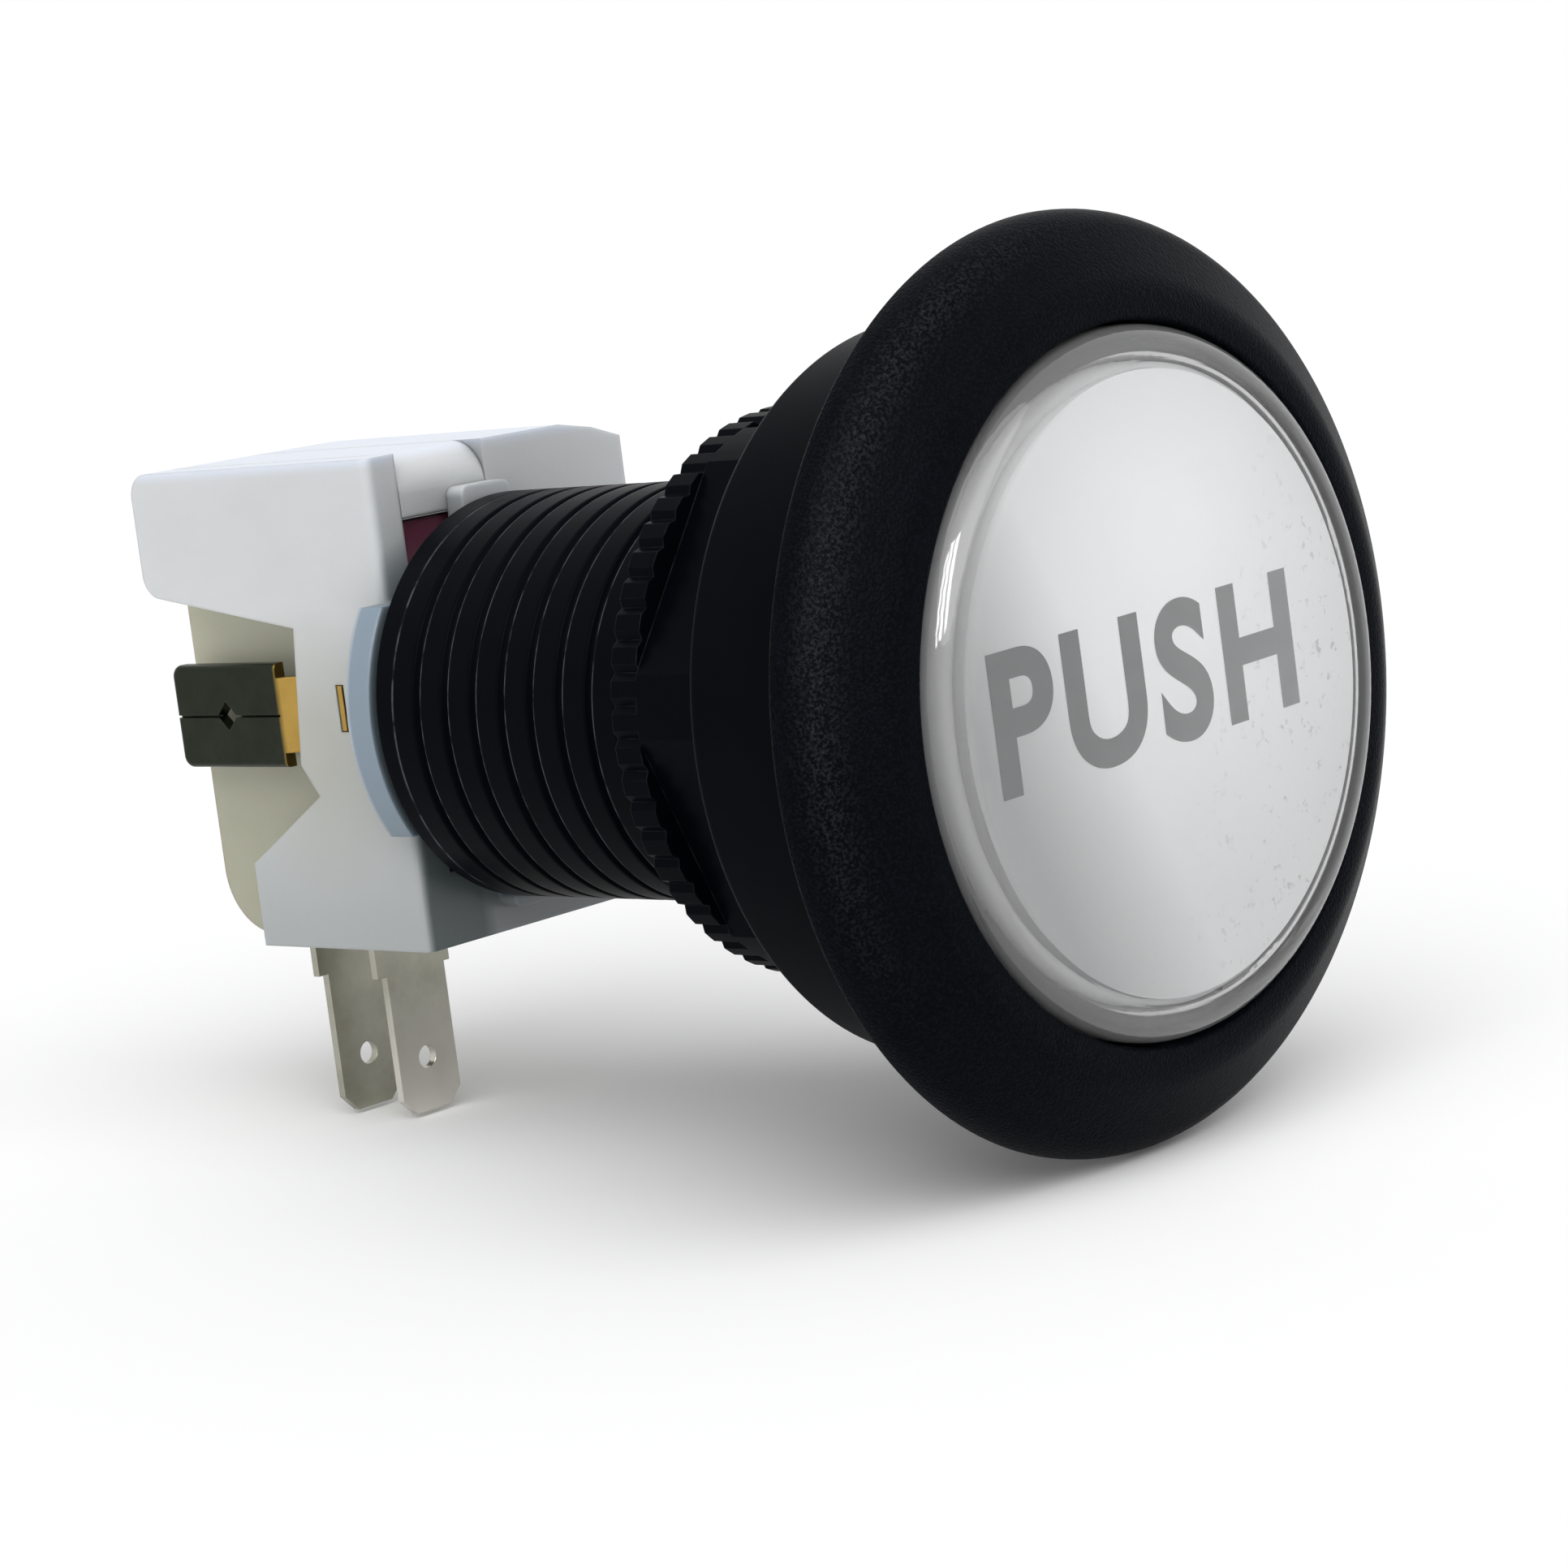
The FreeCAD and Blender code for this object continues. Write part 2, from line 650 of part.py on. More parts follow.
# switch cover: bar over the slider's window
cover = new_body("switch_cover")
slab(cover, "bar", "x", rectangle(holder_front, holder_rear, cover_bottom, holder_top),
     -cover_left, s.cover_right)
dress(cover, "front_round", s.cover_round, straight_edge("x", y=holder_front, z=holder_top))
dress(cover, "rear_round", s.holder_corner_round, straight_edge("x", y=holder_rear, z=holder_top))

# switch slider: frame that the plunger's legs push
slider = new_body("switch_slider")
boss_hole_half_width = boss_half_width + s.boss_gap
boss_hole_half_height = boss_half_height + s.boss_gap
slab(slider, "frame", "y",
     rectangle(-slider_half_width, slider_half_width, -slider_bottom, slider_top),
     slider_front, slider_rear)
slab(slider, "boss_hole", "y",
     rectangle(-boss_hole_half_width, boss_hole_half_width, -boss_hole_half_height, boss_hole_half_height),
     slider_front, slider_rear, cut=True)

wiper = new_body("contact_wiper")
slab(wiper, "foot", "y", rectangle(wiper_left, wiper_right, s.wiper_foot_inset - slider_bottom, -wiper_top),
     slider_rear, slider_rear + s.wiper_thickness)
slab(wiper, "strip", "y", rectangle(wiper_left, wiper_right, -wiper_bottom, -wiper_top),
     slider_rear + s.wiper_thickness, wiper_end)

slider_spring = new_body("slider_spring")
coil(slider_spring, s.slider_spring_radius, s.slider_spring_wire_radius, slider_rear + s.seat_gap,
     spring_seat - s.seat_gap, s.slider_spring_turns, spring_height)

# terminal block with the lamp socket
block = new_body("terminal_block")
slab(block, "core", "x", rectangle(block_front, holder_rear, -s.holder_bottom, block_top),
     -block_half_width, block_half_width)
dress(block, "low_corner", s.block_corner_round, straight_edge("x", y=holder_rear, z=-s.holder_bottom))
slab(block, "boss", "y",
     rectangle(-boss_half_width, boss_half_width, -boss_half_height, boss_half_height),
     boss_front, block_front)
slab(block, "socket", "y",
     rectangle(-socket_half_width, socket_half_width, -socket_half_height, socket_half_height),
     boss_front, socket_end, cut=True)
slab(block, "leg_slots", "y", rectangle(-beyond, beyond, -strip_slot_half, strip_slot_half),
     leg_front - s.seat_gap, leg_rear + s.seat_gap, cut=True)
slab(block, "wiper_channel", "y",
     rectangle(wiper_left - s.channel_gap, wiper_right + s.channel_gap,
               -s.blade_top, s.channel_top_gap - wiper_top),
     block_front, wiper_end + s.press_travel + s.channel_over_travel, cut=True)
for word, station in (("front", front_terminal_y), ("rear", rear_terminal_y)):
    slab(block, word + "_blade_slot", "z",
         rectangle(stem_left - s.seat_gap, stem_right + s.seat_gap, station - s.seat_gap,
                   station + s.terminal_thickness + s.seat_gap),
         -s.holder_bottom, -s.blade_top, cut=True)

# switch terminals: plates across the axis with quick-connect tabs
tab_left = -tab_centre - s.tab_half_width
tab_right = s.tab_half_width - tab_centre
shoulder_top = -s.holder_bottom - s.seat_gap
shoulder_end = shoulder_top - s.tab_shoulder_height
tab_tip = shoulder_end - s.tab_length
for word, station in (("front", front_terminal_y), ("rear", rear_terminal_y)):
    terminal = new_body(word + "_terminal")
    slab(terminal, "plate", "y", (
        (stem_left, -s.blade_top),
        (stem_left, shoulder_top),
        (tab_left - s.tab_shoulder_left, shoulder_top),
        (tab_left - s.tab_shoulder_left, shoulder_end),
        (tab_left, shoulder_end),
        (tab_left, tab_tip + s.tab_tip_chamfer),
        (tab_left + s.tab_tip_chamfer, tab_tip),
        (tab_right - s.tab_tip_chamfer, tab_tip),
        (tab_right, tab_tip + s.tab_tip_chamfer),
        (tab_right, shoulder_end),
        (tab_right + s.tab_shoulder_right, shoulder_end),
        (tab_right + s.tab_shoulder_right, shoulder_top),
        (stem_right, shoulder_top),
        (stem_right, -s.blade_top),
    ), station, station + s.terminal_thickness)
    slab(terminal, "tab_hole", "y", (-tab_centre, tab_tip + s.tab_hole_rise, s.tab_hole_radius),
         station, station + s.terminal_thickness, cut=True)

# lamp terminals: brass strip with a socket tongue, a lug in the cheek and a folded tab, one on each side
strip_bend_start = holder_front + s.strip_bend_depth
lamp_tab_front = holder_front + s.lamp_tab_front_depth
lamp_tab_rear = lamp_tab_front + s.lamp_tab_length
lamp_tab_outer = strip_outer + s.lamp_tab_offset
lamp_tab_inner = lamp_tab_outer - s.strip_thickness * 2
lamp_tab_hole = lamp_tab_front + s.lamp_tab_hole_depth
lock_lug_rear = band_slot_start + s.band_slot_width - s.seat_gap
for side, word in ((-1, "near"), (1, "far")):
    terminal = new_body("lamp_terminal_" + word)
    slab(terminal, "strip", "z", tuple((across * side, along) for across, along in (
        (strip_inner, strip_front),
        (strip_outer, strip_front),
        (strip_outer, strip_bend_start),
        (lamp_tab_outer, lamp_tab_front),
        (lamp_tab_inner, lamp_tab_front),
        (strip_inner, strip_bend_start),
        (strip_inner, leg_rear),
        (tongue_inner, leg_rear),
        (tongue_inner, leg_front),
        (strip_inner, leg_front),
    )), -s.strip_half_height, s.strip_half_height)
    slab(terminal, "tongue", "y",
         rectangle(*ordered(tongue_outer * side, tongue_inner * side),
                   -s.tongue_half_height, s.tongue_half_height),
         holder_front + s.tongue_front_depth, leg_front)
    slab(terminal, "lock_lug", "x",
         rectangle(lock_lug_rear - s.strip_thickness, lock_lug_rear,
                   s.seat_gap - s.band_slot_low, s.band_slot_high - s.seat_gap),
         *ordered(strip_outer * side, (s.holder_half_width - s.seat_gap) * side))
    faces = ordered(lamp_tab_outer * side, lamp_tab_inner * side)
    slab(terminal, "tab", "x",
         rectangle(lamp_tab_front, lamp_tab_rear, -s.lamp_tab_half_height, s.lamp_tab_half_height), *faces)
    dress(terminal, "tab_corners", s.lamp_tab_corner_round,
          straight_edge("x", y=lamp_tab_rear, z=s.lamp_tab_half_height),
          straight_edge("x", y=lamp_tab_rear, z=-s.lamp_tab_half_height))
    dress(terminal, "tab_folds", s.lamp_tab_fold_round,
          straight_edge("y", x=lamp_tab_outer * side, z=s.lamp_tab_half_height),
          straight_edge("y", x=lamp_tab_outer * side, z=-s.lamp_tab_half_height))
    slab(terminal, "tab_seam", "x",
         rectangle(lamp_tab_front, lamp_tab_rear, -s.lamp_tab_seam / 2, s.lamp_tab_seam / 2),
         *ordered(lamp_tab_outer * side, (lamp_tab_outer - s.strip_thickness) * side), cut=True)
    slab(terminal, "tab_hole", "x", (
        (lamp_tab_hole - s.lamp_tab_hole_half, 0),
        (lamp_tab_hole, -s.lamp_tab_hole_half),
        (lamp_tab_hole + s.lamp_tab_hole_half, 0),
        (lamp_tab_hole, s.lamp_tab_hole_half),
    ), *faces, cut=True)

# lamp: glass bulb with a wedge base
lamp = new_body("wedge_lamp")
lamp_base_front = holder_front - s.lamp_base_rise
bulb_rear = holder_front - s.bulb_shoulder
bulb_tip = bulb_rear - s.bulb_length
turned(lamp, "bulb", (
    (0, holder_front),
    (0, bulb_tip, s.bulb_radius),
    (s.bulb_radius, bulb_tip + s.bulb_radius),
    (s.bulb_radius, bulb_rear),
    (s.bulb_foot_radius, holder_front),
))
slab(lamp, "base", "y",
     rectangle(-s.lamp_base_half_width, s.lamp_base_half_width, -s.lamp_base_half_height,
               s.lamp_base_half_height), lamp_base_front, socket_end - s.lamp_seat_gap)

doc.recompute()
for item in doc.Objects:
    if "Invalid" in item.State or "Error" in item.State:
        raise RuntimeError("not built: " + item.Name)
os.makedirs("parts", exist_ok=True)
for body in finished:
    shape = body.Shape
    if shape.isNull() or not shape.isValid() or len(shape.Solids) != 1:
        raise RuntimeError("not one valid solid: " + body.Label)
    shape.exportStep("parts/{}.step".format(body.Label))
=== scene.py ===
"""Illuminated push button in a plain studio: thread, legend, finishes, floor, light and camera."""

import bmesh
import bpy
import json
import math
from mathutils import Matrix, Vector


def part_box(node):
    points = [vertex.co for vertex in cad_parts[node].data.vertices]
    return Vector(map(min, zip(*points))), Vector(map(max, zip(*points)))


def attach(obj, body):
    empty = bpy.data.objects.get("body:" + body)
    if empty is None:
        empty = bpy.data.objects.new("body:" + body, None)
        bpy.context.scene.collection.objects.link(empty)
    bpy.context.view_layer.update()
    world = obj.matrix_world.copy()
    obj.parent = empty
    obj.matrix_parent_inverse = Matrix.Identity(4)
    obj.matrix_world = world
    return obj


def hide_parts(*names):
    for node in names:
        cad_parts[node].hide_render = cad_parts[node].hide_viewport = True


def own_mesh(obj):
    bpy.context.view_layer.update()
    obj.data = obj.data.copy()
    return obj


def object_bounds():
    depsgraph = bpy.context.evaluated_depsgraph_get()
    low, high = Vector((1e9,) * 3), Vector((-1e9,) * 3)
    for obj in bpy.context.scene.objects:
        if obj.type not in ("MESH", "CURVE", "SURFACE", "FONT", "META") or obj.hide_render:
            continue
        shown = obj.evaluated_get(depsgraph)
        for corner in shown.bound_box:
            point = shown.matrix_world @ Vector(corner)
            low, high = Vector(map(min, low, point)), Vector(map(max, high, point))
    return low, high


MM = 0.001
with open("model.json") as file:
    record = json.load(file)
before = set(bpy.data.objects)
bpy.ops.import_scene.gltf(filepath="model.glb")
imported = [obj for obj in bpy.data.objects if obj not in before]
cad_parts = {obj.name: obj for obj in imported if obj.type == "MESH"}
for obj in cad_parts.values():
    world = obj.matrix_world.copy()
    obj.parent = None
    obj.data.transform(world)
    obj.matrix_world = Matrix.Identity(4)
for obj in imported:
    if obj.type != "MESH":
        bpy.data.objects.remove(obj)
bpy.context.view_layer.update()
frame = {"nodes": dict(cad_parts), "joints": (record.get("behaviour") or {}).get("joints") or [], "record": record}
nodes = frame["nodes"]
mounts = {mount["name"]: mount for mount in frame["record"]["mounts"]}

# housing in millimetres, from the frame where it states the size
BEZEL_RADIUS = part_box("housing")[1][0] / MM
BEZEL_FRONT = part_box("housing")[0][1] / MM
BEZEL_SIDE = 1.9
BEZEL_REAR_ROUND = 0.3
SHOULDER_ROUND = 2.6
CREST_RADIUS = 20.6
CREST_ROUND = 3.0
OPENING_RADIUS = 18.95
LIP_ROUND = 0.3
CUP_RADIUS = mounts["panel_spigot"]["dims"]["r_mm"]
CUP_REAR = 10.2
CUP_FLOOR = 8.2
CUP_ROUND = 0.5
BORE_RADIUS = 9.8
LATCH_RADIUS = 10.6
LATCH_STEP = 34.0
BARREL_RADIUS = 12.05
BARREL_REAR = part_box("housing")[1][1] / MM
BARREL_CHAMFER = 0.6
BARREL_SINK = 0.05
HOUSING_SEGMENTS = 192
SHARP_ANGLE = math.radians(28)
WELD_DISTANCE = 1e-7

# thread in millimetres; half the groove and the painted highlight line at its edge are shares of the pitch
THREAD_PITCH = 2.3
THREAD_DEPTH = 0.36
THREAD_HALF_GROOVE = 0.13
THREAD_STEEPNESS = 1.8
GLINT_CORE = 0.014
GLINT_END = 0.042
THREAD_FREE_END = 2.2
THREAD_RUNOUT = 0.8
THREAD_SEGMENTS = 144
ROWS_PER_PITCH = 24

# legend in millimetres, its tilt in degrees
LEGEND_TEXT = "PUSH"
LEGEND_SIZE = 9.9
LEGEND_SPACING = 1.16
LEGEND_STROKE = 0.3
LEGEND_X = -1.8
LEGEND_Z = 0.1
LEGEND_TILT = -1.3
LEGEND_LIFT = 0.02

# places in millimetres, and directions, in which a finish, a painted light or a painted shade changes
HOLDER_FRONT = 45.0
HOLDER_TOP = 15.1
COLLAR_LUG = 10.0
DOME_MIDDLE = 0.2
LENS_RIM = 17.8
TAB_FRONT = 56.2
TAB_TIP = -24.0
CHEEK_WARM = Vector((-8, 53, -2))
DISC_LIGHT_POOL = Vector((1, -5, 8))
SHEEN_SIDE = Vector((-0.85, 0, 0.53))
FROM_LOWER_LEFT = Vector((0.9, 0, 0.44))
LOWER_RIGHT = Vector((0.9, 0, -0.44))

# light in metres and watts
FLOOR_REACH = 12.0
FLOOR_DROP = 0.2 * MM
SUN_FROM = Vector((-0.45, -0.7, 1.0))
SUN_STRENGTH = 2.3
SUN_SPREAD = math.radians(70)
PANES = 3
PANE_WIDTH = 0.11
PANE_HEIGHT = 0.42
PANE_STEP = 0.16
PANE_POWER = 2.6
WINDOW_PLACE = Vector((-0.60, -0.47, 0.49))
WINDOW_SIDE = Vector((0.62, -0.78, 0.0))
WINDOW_AIM = Vector((0, 20 * MM, 0))
SOFT_LEVEL = 0.55
WHITE_LEVEL = 1.0

# camera: place, lens and sensor in millimetres, the picture's own axes, near and far end in metres
CAMERA_PLACE = Vector((-176.302, -141.6, 28.672))
CAMERA_RIGHT = Vector((0.66358, -0.73801, -0.12252))
CAMERA_DOWN = Vector((-0.18608, -0.00421, -0.98253))
CAMERA_LENS = 98.76
CAMERA_SENSOR = 36.0
CAMERA_NEAR = 0.01
CAMERA_FAR = 20.0


def add_object(name, data):
    added = bpy.data.objects.new(name, data)
    bpy.context.scene.collection.objects.link(added)
    return added


def rounded(corners, steps=8):
    """Outline with each (radius, y, rounding) corner turned into an arc."""
    points = []
    for i, (r, y, size) in enumerate(corners):
        here = Vector((r, y))
        if size == 0:
            points.append(here)
            continue
        before = (Vector(corners[i - 1][:2]) - here).normalized()
        after = (Vector(corners[(i + 1) % len(corners)][:2]) - here).normalized()
        half = before.angle(after) / 2
        centre = here + (before + after).normalized() * size / math.sin(half)
        start = here + before * size / math.tan(half) - centre
        turn = start.angle_signed(here + after * size / math.tan(half) - centre)
        for k in range(steps + 1):
            arm = start.copy()
            arm.rotate(Matrix.Rotation(-turn * k / steps, 2))
            points.append(centre + arm)
    return points


def ring_point(r, y, turn):
    """Point at a radius and station in millimetres, a share of a turn round the button's axis."""
    angle = 2 * math.pi * turn
    return r * MM * math.cos(angle), y * MM, r * MM * math.sin(angle)


def lathe(bm, outline, segments, closed=True):
    """Turns (radius, y) points about the button's axis."""
    rings = [[bm.verts.new(ring_point(r, y, k / segments)) for k in range(segments)] for r, y in outline]
    following = rings[1:] + rings[:1] if closed else rings[1:]
    for a, b in zip(rings, following):
        for k in range(segments):
            j = (k + 1) % segments
            bm.faces.new((a[k], a[j], b[j], b[k]))


def thread_radius(y, turn):
    """Barrel radius at a station: flat crests with narrow grooves on a helix."""
    phase = (y / THREAD_PITCH - turn) % 1.0
    groove = max(0.0, 1.0 - abs(phase - 0.5) / THREAD_HALF_GROOVE)
    depth = THREAD_DEPTH * min(1.0, groove * THREAD_STEEPNESS)
    runout = min(1.0, max(0.0, (BARREL_REAR - THREAD_FREE_END - y) / THREAD_RUNOUT))
    return BARREL_RADIUS - depth * runout


def threaded_wall(bm):
    """Outer wall of the barrel as a grid whose rows follow the helix."""
    low, high = CUP_REAR - BARREL_SINK, BARREL_REAR - BARREL_CHAMFER
    rows = int((high - low) / THREAD_PITCH * ROWS_PER_PITCH) + ROWS_PER_PITCH + 2
    grid = []
    for i in range(rows):
        row = []
        for k in range(THREAD_SEGMENTS + 1):
            turn = k / THREAD_SEGMENTS
            y = low + (i / ROWS_PER_PITCH - 1 + turn) * THREAD_PITCH
            y = min(max(y, low), high)
            row.append(bm.verts.new(ring_point(thread_radius(y, turn), y, turn)))
        grid.append(row)
    for a, b in zip(grid, grid[1:]):
        for k in range(THREAD_SEGMENTS):
            corners = (a[k], a[k + 1], b[k + 1], b[k])
            # a row held back at an end of the wall leaves faces without area, which are not made
            if len({tuple(round(c, 9) for c in v.co) for v in corners}) > 2:
                bm.faces.new(corners)
    chamfer = ((BARREL_RADIUS, high), (BARREL_RADIUS - BARREL_CHAMFER, BARREL_REAR))
    lathe(bm, chamfer, THREAD_SEGMENTS, closed=False)


def housing_shell():
    """Bezel, cup and barrel in one moulding, with the grooves of the thread."""
    core = BARREL_RADIUS - BARREL_CHAMFER
    outline = rounded((
        (BEZEL_RADIUS, 0, BEZEL_REAR_ROUND),
        (BEZEL_RADIUS, -BEZEL_SIDE, SHOULDER_ROUND),
        (CREST_RADIUS, BEZEL_FRONT, CREST_ROUND),
        (OPENING_RADIUS, BEZEL_FRONT, LIP_ROUND),
        (OPENING_RADIUS, CUP_FLOOR, 0),
        (BORE_RADIUS, CUP_FLOOR, 0),
        (BORE_RADIUS, LATCH_STEP, 0),
        (LATCH_RADIUS, LATCH_STEP, 0),
        (LATCH_RADIUS, BARREL_REAR, 0),
        (core, BARREL_REAR, 0),
        (core, CUP_REAR, 0),
        (CUP_RADIUS, CUP_REAR, CUP_ROUND),
        (CUP_RADIUS, 0, 0),
    ))
    bm = bmesh.new()
    lathe(bm, outline, HOUSING_SEGMENTS)
    threaded_wall(bm)
    bmesh.ops.remove_doubles(bm, verts=bm.verts, dist=WELD_DISTANCE)
    bmesh.ops.recalc_face_normals(bm, faces=bm.faces)
    mesh = bpy.data.meshes.new("housing_shell")
    bm.to_mesh(mesh)
    bm.free()
    mesh.set_sharp_from_angle(angle=SHARP_ANGLE)
    for polygon in mesh.polygons:
        polygon.use_smooth = True
    piece = add_object("housing_shell", mesh)
    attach(piece, "housing")
    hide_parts("housing")
    return piece


def legend():
    """Plain word printed on the disc's front face, under the lens."""
    word = bpy.data.curves.new("legend_word", "FONT")
    word.body = LEGEND_TEXT
    word.align_x = "CENTER"
    word.align_y = "CENTER"
    word.size = LEGEND_SIZE * MM
    word.space_character = LEGEND_SPACING
    word.offset = LEGEND_STROKE * MM
    piece = add_object("legend_word", word)
    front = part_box("legend_insert")[0][1] - LEGEND_LIFT * MM
    tilt = Matrix.Rotation(math.radians(LEGEND_TILT), 4, "Y")
    upright = Matrix.Rotation(math.radians(90), 4, "X")
    piece.matrix_world = Matrix.Translation((LEGEND_X * MM, front, LEGEND_Z * MM)) @ tilt @ upright
    bpy.context.view_layer.update()
    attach(piece, "button")
    return piece


def smooth_dome(piece):
    """Shading at the middle of the lens: both faces of the dome look straight along the axis there."""
    mesh = piece.data
    normals = [corner.vector.copy() for corner in mesh.corner_normals]
    for polygon in mesh.polygons:
        for loop in polygon.loop_indices:
            place = mesh.vertices[mesh.loops[loop].vertex_index].co
            if math.hypot(place.x, place.z) < DOME_MIDDLE * MM:
                normals[loop] = Vector((0, math.copysign(1, polygon.normal.y), 0))
    mesh.normals_split_custom_set(normals)


def shorten_springs():
    """Gives each coil spring that a slide deforms a mesh of its own."""
    for joint in frame["joints"]:
        for spring in joint.get("deforming_nodes", ()):
            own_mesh(nodes[spring["node"]])


class Nodes:
    """Short way to write a material's node tree."""

    def __init__(self, name):
        self.material = bpy.data.materials.new(name)
        self.material.use_nodes = True
        self.tree = self.material.node_tree
        self.shader = self.tree.nodes["Principled BSDF"]
        self.place = self.add("ShaderNodeTexCoord").outputs["Object"]

    def add(self, kind, **settings):
        node = self.tree.nodes.new(kind)
        for key, number in settings.items():
            setattr(node, key, number)
        return node

    def link(self, source, target):
        self.tree.links.new(source, target)

    def noise(self, scale, detail=3.0, rough=0.55, stretch=(1, 1, 1)):
        """Cloudy pattern, drawn out along an axis whose stretch is small."""
        mapping = self.add("ShaderNodeMapping")
        mapping.inputs["Scale"].default_value = stretch
        self.link(self.place, mapping.inputs["Vector"])
        node = self.add("ShaderNodeTexNoise")
        node.inputs["Scale"].default_value = scale
        node.inputs["Detail"].default_value = detail
        node.inputs["Roughness"].default_value = rough
        self.link(mapping.outputs["Vector"], node.inputs["Vector"])
        return node.outputs["Fac"]

    def spread(self, source, low, high, from_low=0.0, from_high=1.0):
        """Stretches a range of the source to low and high, and holds it there beyond its ends."""
        node = self.add("ShaderNodeMapRange")
        node.inputs["From Min"].default_value = from_low
        node.inputs["From Max"].default_value = from_high
        node.inputs["To Min"].default_value = low
        node.inputs["To Max"].default_value = high
        self.link(source, node.inputs["Value"])
        return node.outputs["Result"]

    def fade(self, source, start, end):
        """0 at start and 1 at end, both in millimetres."""
        return self.spread(source, 0.0, 1.0, start * MM, end * MM)

    def measure(self, operation, vector):
        """Length that a vector operation on the place gives."""
        node = self.add("ShaderNodeVectorMath", operation=operation)
        self.link(self.place, node.inputs[0])
        node.inputs[1].default_value = vector
        return node.outputs["Value"]

    def along(self, axis):
        """Place along one of the part's axes."""
        return self.measure("DOT_PRODUCT", {"X": (1, 0, 0), "Y": (0, 1, 0), "Z": (0, 0, 1)}[axis])

    def edges(self, radius):
        """1 on sharp edges, 0 on plain faces."""
        bevel = self.add("ShaderNodeBevel", samples=6)
        bevel.inputs["Radius"].default_value = radius
        agree = self.add("ShaderNodeVectorMath", operation="DOT_PRODUCT")
        self.link(bevel.outputs["Normal"], agree.inputs[0])
        self.link(self.add("ShaderNodeNewGeometry").outputs["Normal"], agree.inputs[1])
        return self.spread(agree.outputs["Value"], 1.0, 0.0, 0.86, 0.97)

    def off_axis(self):
        """Distance from the button's axis."""
        flat = self.add("ShaderNodeVectorMath", operation="MULTIPLY")
        self.link(self.place, flat.inputs[0])
        flat.inputs[1].default_value = (1, 0, 1)
        length = self.add("ShaderNodeVectorMath", operation="LENGTH")
        self.link(flat.outputs["Vector"], length.inputs[0])
        return length.outputs["Value"]

    def math(self, operation, a, b=0.0):
        node = self.add("ShaderNodeMath", operation=operation)
        for socket, number in ((node.inputs[0], a), (node.inputs[1], b)):
            if isinstance(number, float):
                socket.default_value = number
            else:
                self.link(number, socket)
        return node.outputs["Value"]

    def times(self, first, *others):
        product = first
        for factor in others:
            product = self.math("MULTIPLY", product, factor)
        return product

    def between(self, factor, first, second):
        """Number that goes from first to second with the factor."""
        node = self.add("ShaderNodeMix", data_type="FLOAT")
        self.link(factor, node.inputs["Factor"])
        self.link(first, node.inputs[2])
        self.link(second, node.inputs[3])
        return node.outputs[0]

    def mix(self, factor, first, second):
        """Colour that goes from first to second with the factor."""
        node = self.add("ShaderNodeMix", data_type="RGBA")
        self.link(factor, node.inputs["Factor"])
        for socket, colour in ((node.inputs[6], first), (node.inputs[7], second)):
            if isinstance(colour, tuple):
                socket.default_value = (*colour, 1)
            else:
                self.link(colour, socket)
        return node.outputs[2]

    def bump(self, height, distance, strength=1.0, soft_edge=0.0):
        """Fine relief of the surface, on edges rounded by soft_edge."""
        node = self.add("ShaderNodeBump")
        node.inputs["Distance"].default_value = distance
        if isinstance(strength, float):
            node.inputs["Strength"].default_value = strength
        else:
            self.link(strength, node.inputs["Strength"])
        self.link(height, node.inputs["Height"])
        if soft_edge:
            bevel = self.add("ShaderNodeBevel", samples=4)
            bevel.inputs["Radius"].default_value = soft_edge
            self.link(bevel.outputs["Normal"], node.inputs["Normal"])
        self.link(node.outputs["Normal"], self.shader.inputs["Normal"])

    def colour(self, source):
        self.link(source, self.shader.inputs["Base Color"])

    def rough(self, source):
        self.link(source, self.shader.inputs["Roughness"])

    def fixed(self, **sockets):
        """Numbers and colours that are the same all over."""
        for name, number in sockets.items():
            self.shader.inputs[name.replace("_", " ")].default_value = number


def thread_glint_line(n, broken):
    """Mask of the painted highlight line along one edge of the thread's groove."""
    turn = n.math("DIVIDE", n.math("ARCTAN2", n.along("Z"), n.along("X")), 2 * math.pi)
    phase = n.math("FRACT", n.math("SUBTRACT", n.math("DIVIDE", n.along("Y"), THREAD_PITCH * MM), turn))
    from_edge = n.math("ABSOLUTE", n.math("SUBTRACT", phase, 0.5 - THREAD_HALF_GROOVE))
    on_barrel = n.fade(n.off_axis(), BARREL_RADIUS + 0.06, BARREL_RADIUS + 0.02)
    behind_cup = n.fade(n.along("Y"), CUP_REAR + 0.1, CUP_REAR + 0.3)
    return n.times(n.spread(from_edge, 1.0, 0.0, GLINT_CORE, GLINT_END), broken, on_barrel, behind_cup)


